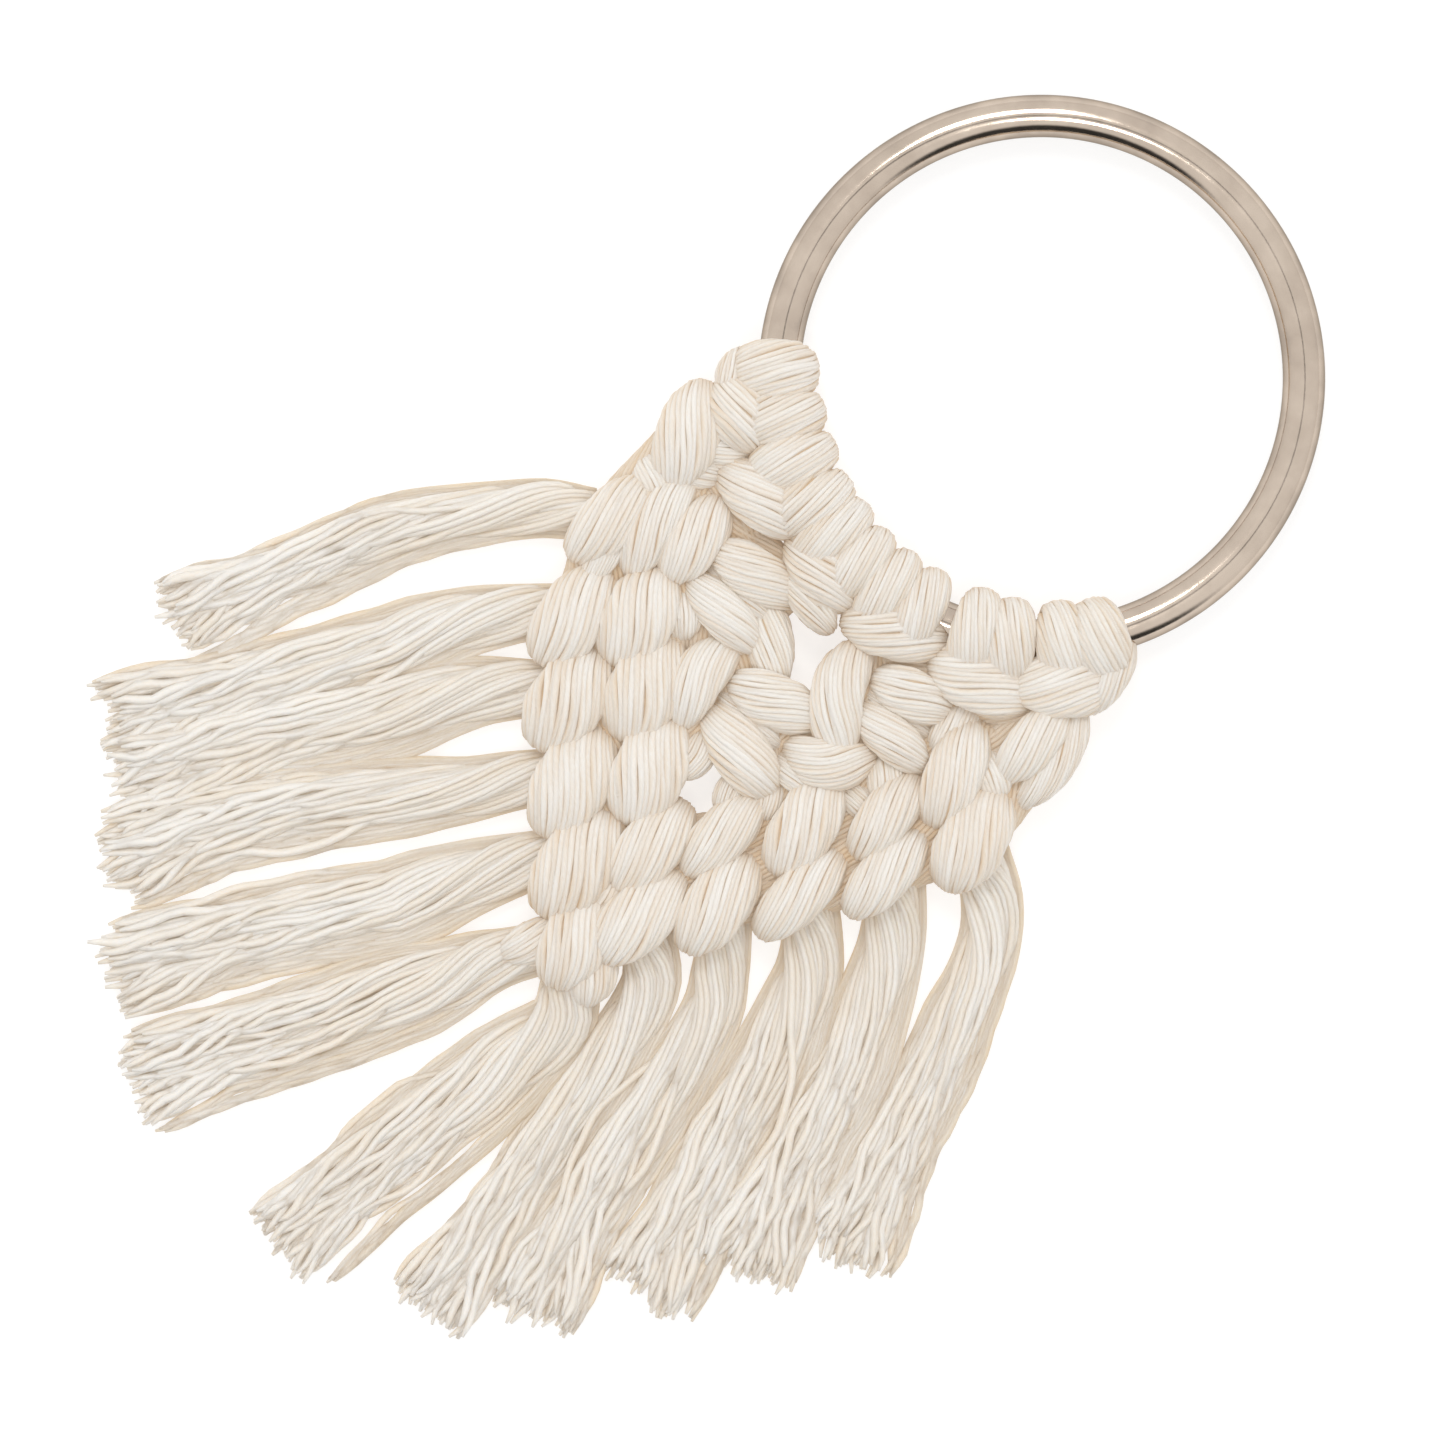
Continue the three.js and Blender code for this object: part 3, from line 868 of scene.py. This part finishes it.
THICKNESS_STOPS = (0, 0.3, 1.05)
WIDTH_STOPS = (0, 0.1, 0.32, 0.65, 1.05)
SHIFT_STOPS = (0, 0.12, 0.4, 1.0)
ROUTE_HEIGHTS = (2.1, 1.9, 1.7, 1.5, 1.3)
ROOT_HEIGHT = 3.4
WIDEST = 5.8  # no yarn runs further than this beside the middle line

# The yarns: clumps on top, and under them an even layer a little wider than the clumps.
CLUMPS = 8
CLUMP_YARNS = 7
UPPER_YARNS = CLUMPS * CLUMP_YARNS
UNDER_YARNS = 34
FRINGE_YARNS = UPPER_YARNS + UNDER_YARNS
UNDER_SPREAD = 1.14
UNDER_DROP = 0.16  # how far the layer lies below the middle, in thicknesses
FRINGE_YARN_RADIUS = 0.34
FRINGE_VARIETY = (0.85, 1.15)
FLATTENING = 0.35  # how much wider a yarn gets by its tip
THINNING = 0.2  # and how much thinner, from above
CLUMP_FLATNESS = 0.5
CLUMP_REACH = (0.62, 0.5)  # a clump's radius at the neck, and how much it opens
TIP_PINCH = 0.15
FRINGE_TWIST = 0.75  # turns of the whole cord, most of them near its neck
GOLDEN_ANGLE = math.pi * (3 - math.sqrt(5))
GOLDEN_SHARE = 0.618

# How ragged it is. The ends are shares of the length, and the rest is in millimetres.
CLUMP_ENDS = 0.016
YARN_ENDS = 0.013
END_LIMITS = (0.9, 1.05)
DRIFT = 0.5
CRIMP, CRIMP_PITCH = 0.2, (4.2, 8.0)
BEND, BEND_PITCHES = 0.36, 2.6  # the pitch is so many pitches of a yarn's crimp
SWEEP, SWEEP_PITCH = 0.6, 26
LIFT = 0.1
STRAY_YARNS = 3
STRAY_REACH = (1.5, 3.2)


def fringe_line(root, route, shifts):
    """The middle line of a tassel, from its root in the knots to its tip, evenly spaced, and its
    length."""
    points = [(*root, ROOT_HEIGHT)]
    points += [(x, y, z) for (x, y), z in zip(route, ROUTE_HEIGHTS)]
    line, _ = resampled(spline(points, 12), TASSEL_STEPS, closed=False)
    shift = np.interp(np.linspace(0, 1, TASSEL_STEPS), SHIFT_STOPS, (0, *shifts))
    tangents = np.gradient(line, axis=0)
    tangents /= np.hypot(tangents[:, 0], tangents[:, 1])[:, None]
    line[:, 0] -= tangents[:, 1] * shift
    line[:, 1] += tangents[:, 0] * shift
    return resampled(line, TASSEL_STEPS, closed=False)


def beside_line(line, length, s):
    """The middle line's points at s, running straight on past its tip, and the level direction to
    the left of it there."""
    fraction = np.linspace(0, 1, len(line))
    inside = np.minimum(s, 1)
    centre = np.stack([np.interp(inside, fraction, line[:, k]) for k in range(3)], 2)
    tangents = np.gradient(line, axis=0)
    tangents[:, 2] = 0
    tangents /= np.linalg.norm(tangents, axis=1, keepdims=True)
    tangent = np.stack([np.interp(inside, fraction, tangents[:, k]) for k in range(3)], 2)
    centre = centre + tangent * ((s - inside) * length)[:, :, None]
    return centre, np.stack([-tangent[:, :, 1], tangent[:, :, 0], 0 * s], 2)


def yarn_waves(rng, clump, s, loose, length):
    """How far each yarn leaves its even place, sideways and upwards."""
    drift = rng.normal(0, DRIFT, CLUMPS)[clump][:, None] * loose**1.5
    phase = rng.uniform(0, 2 * math.pi, (3, len(s), 1))
    pace = rng.uniform(*CRIMP_PITCH, (2, len(s), 1))
    travelled = 2 * math.pi * s * length
    crimp = CRIMP * loose * np.sin(travelled / pace[0] + phase[0])
    bend = BEND * loose * np.sin(travelled / (pace[1] * BEND_PITCHES) + phase[1])
    own = 2 * math.pi * clump[:, None] / CLUMPS
    sweep = SWEEP * loose * np.sin(travelled / SWEEP_PITCH + own)
    lift = LIFT * loose * np.cos(travelled / pace[1] + phase[2])
    return drift + crimp + bend + sweep, lift


def stray_paths(rng, s):
    """How far a few of the upper yarns wander off to either side and come back."""
    wander = np.zeros((len(s), 1))
    strays = rng.choice(UPPER_YARNS, STRAY_YARNS, replace=False)
    sign = rng.choice([-1, 1], (STRAY_YARNS, 1))
    wander[strays] = sign * rng.uniform(*STRAY_REACH, (STRAY_YARNS, 1))
    return wander * np.sin(math.pi * np.clip((s - 0.25) / 0.65, 0, 1)) ** 2


def fringe_yarns(line, length, widths, rng):
    """The yarns of a tassel: their centres, how far along each point is, which way is out and how much
    painted shade they carry. They leave the knots as one twisted cord and loosen into flat clumps,
    which lie on an even layer of yarns."""
    clump, member = np.divmod(np.arange(FRINGE_YARNS), CLUMP_YARNS)
    clump = clump % CLUMPS
    ends = 1 + rng.normal(0, CLUMP_ENDS, CLUMPS)[clump] + rng.normal(0, YARN_ENDS, FRINGE_YARNS)
    s = np.clip(ends, *END_LIMITS)[:, None] * np.linspace(0, 1, TASSEL_STEPS)[None]
    centre, lateral = beside_line(line, length, s)
    loose = np.clip((s - 0.1) / 0.9, 0, 1)
    neck, middle, tip = widths
    width = np.interp(s, WIDTH_STOPS, (neck, 1.1 * neck, 0.94 * middle, (middle + tip) / 2, tip))
    depth = np.interp(s, THICKNESS_STOPS, TASSEL_THICKNESS)
    pinch = 1 - TIP_PINCH * np.clip((s / s[:, -1:] - 0.86) / 0.14, 0, 1) ** 2
    own_reach = (CLUMP_REACH[0] + CLUMP_REACH[1] * loose) * pinch
    start, own_turns = rng.uniform(0, 1, (2, CLUMPS))[:, clump, None]
    own_angle = 2 * math.pi * (member[:, None] / CLUMP_YARNS + start - (0.6 + 0.4 * own_turns) * s)
    waves, lift = yarn_waves(rng, clump, s, loose, length)
    wander = stray_paths(rng, s)

    # where the clumps lie: from even places round a twisted cord to even places side by side
    reach = np.sqrt((clump + 0.35) / CLUMPS)[:, None]
    turned = FRINGE_TWIST * (1 - np.exp(-2.8 * s))
    angle = GOLDEN_ANGLE * clump[:, None] - 2 * math.pi * turned
    fanned = (clump[:, None] * GOLDEN_SHARE) % 1.0 * 2 - 1
    spread = np.cos(angle) * reach * (1 - loose**0.7) + fanned * loose**0.7
    aside = spread * (width / 2 - own_reach).clip(0) + np.cos(own_angle) * own_reach
    rise = np.sin(angle) * reach * (depth / 2 - own_reach * CLUMP_FLATNESS).clip(0.1)
    rise = rise + np.sin(own_angle) * own_reach * CLUMP_FLATNESS

    under = slice(UPPER_YARNS, None)
    half_layer = width[under] * UNDER_SPREAD / 2 - 0.3
    aside[under] = np.linspace(-1, 1, UNDER_YARNS)[:, None] * half_layer
    rise[under] = -UNDER_DROP * depth[under]

    aside = aside + waves
    limit = np.minimum(width * 0.7, WIDEST)
    aside = aside / (1 + (np.abs(aside) / limit) ** 6) ** (1 / 6)
    edge = np.abs(aside) / limit
    aside = (aside + wander).clip(-WIDEST, WIDEST)
    rise = rise + lift
    centres = centre + lateral * aside[:, :, None]
    centres[:, :, 2] = np.maximum(centre[:, :, 2] + rise, FRINGE_YARN_RADIUS * 1.1)
    outward = lateral * (0.5 * np.cos(own_angle))[:, :, None]
    outward[:, :, 2] = 0.9
    outward /= np.linalg.norm(outward, axis=2, keepdims=True)

    # painted shade: darker low down, at the neck, and along the under layer's edges, where it lies
    # below and between the tassels
    buried = np.clip((depth / 2 - rise) / depth, 0, 1)
    crease = 0.42 * buried**1.5 * (1 - 0.35 * s) + 0.08 * (1 - s)
    crease[under] += 0.4 * edge[under] ** 2 * (1 - 0.55 * s[under])
    return centres, s, outward, crease


def make_tassel(key, root, widths, shifts, route, cotton, rng):
    line, length = fringe_line(root, route, shifts)
    centres, s, outward, crease = fringe_yarns(line, length, widths, rng)
    girth = FRINGE_YARN_RADIUS * rng.uniform(*FRINGE_VARIETY, (FRINGE_YARNS, 1)) * np.ones_like(s)
    girth[:, -1] *= 0.35
    girth[:, -2] *= 0.8
    radii = (girth * (1 - THINNING * s), girth * (1 + FLATTENING * s))
    tone = rng.uniform(0, 1, FRINGE_YARNS)
    strands = Strands()
    strands.add(centres, radii, UP, crease, tone, outward, groove_shade=FRINGE_GROOVE_SHADE)
    piece = strands.piece(f"fringe_{key}", cotton)

    hinge = np.array([*route[0], ROUTE_HEIGHTS[0]])
    heading = np.array([*route[-1], 0.0]) - [*hinge[:2], 0.0]
    heading /= np.linalg.norm(heading)
    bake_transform(piece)
    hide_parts(f"tassel_{key}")


def make_tassels(cotton):
    rng = np.random.default_rng(7)
    for key, (root, widths, shifts, route) in TASSELS.items():
        make_tassel(key, root, widths, shifts, route, cotton, rng)


# ---------------------------------------------------------------- ring


RING_STEPS, WIRE_STEPS = 256, 32
FLANK_START, FLANK_REACH = 0.5, 0.45  # from where on a side of the wire counts as one of its flanks, which get painted shade


def make_ring(nickel):
    turn = np.arange(RING_STEPS) * 2 * math.pi / RING_STEPS
    roll = np.arange(WIRE_STEPS) * 2 * math.pi / WIRE_STEPS
    radius = RING_RADIUS + WIRE_RADIUS * np.cos(roll)[None]
    height = WIRE_HEIGHT + WIRE_RADIUS * np.sin(roll)[None]
    shape = (RING_STEPS, WIRE_STEPS)
    points = np.stack([
        radius * np.cos(turn)[:, None],
        radius * np.sin(turn)[:, None],
        np.broadcast_to(height, shape),
    ], 2)
    index = np.arange(math.prod(shape)).reshape(shape)
    ahead = np.roll(index, -1, 0)
    quads = np.stack([index, ahead, np.roll(ahead, -1, 1), np.roll(index, -1, 1)], -1)
    # painted shade that darkens the wire's flanks
    flank = np.clip((np.abs(np.cos(roll)) - FLANK_START) / FLANK_REACH, 0, 1)
    ring = smooth_object("nickel_ring", points.reshape(-1, 3), quads.reshape(-1, 4).tolist(), nickel,
                         flank=np.tile(flank, RING_STEPS))
    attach(ring, "ring")
    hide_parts("ring")


# ---------------------------------------------------------------- scene

make_camera()
bpy.context.scene.view_settings.view_transform = "Standard"
make_tassels(make_cotton("fringe_cotton", *FRINGE_COLOURS))
make_world()
make_area_light("key_light", (-0.42, 0.45, 1.2), 0.36, 3.0)
make_area_light("fill_light", (0.22, -0.26, 1.25), 0.2, 1.5)
make_floor()
make_knotted_panel(make_cotton("cord_cotton", *CORD_COLOURS))
make_ring(make_nickel())
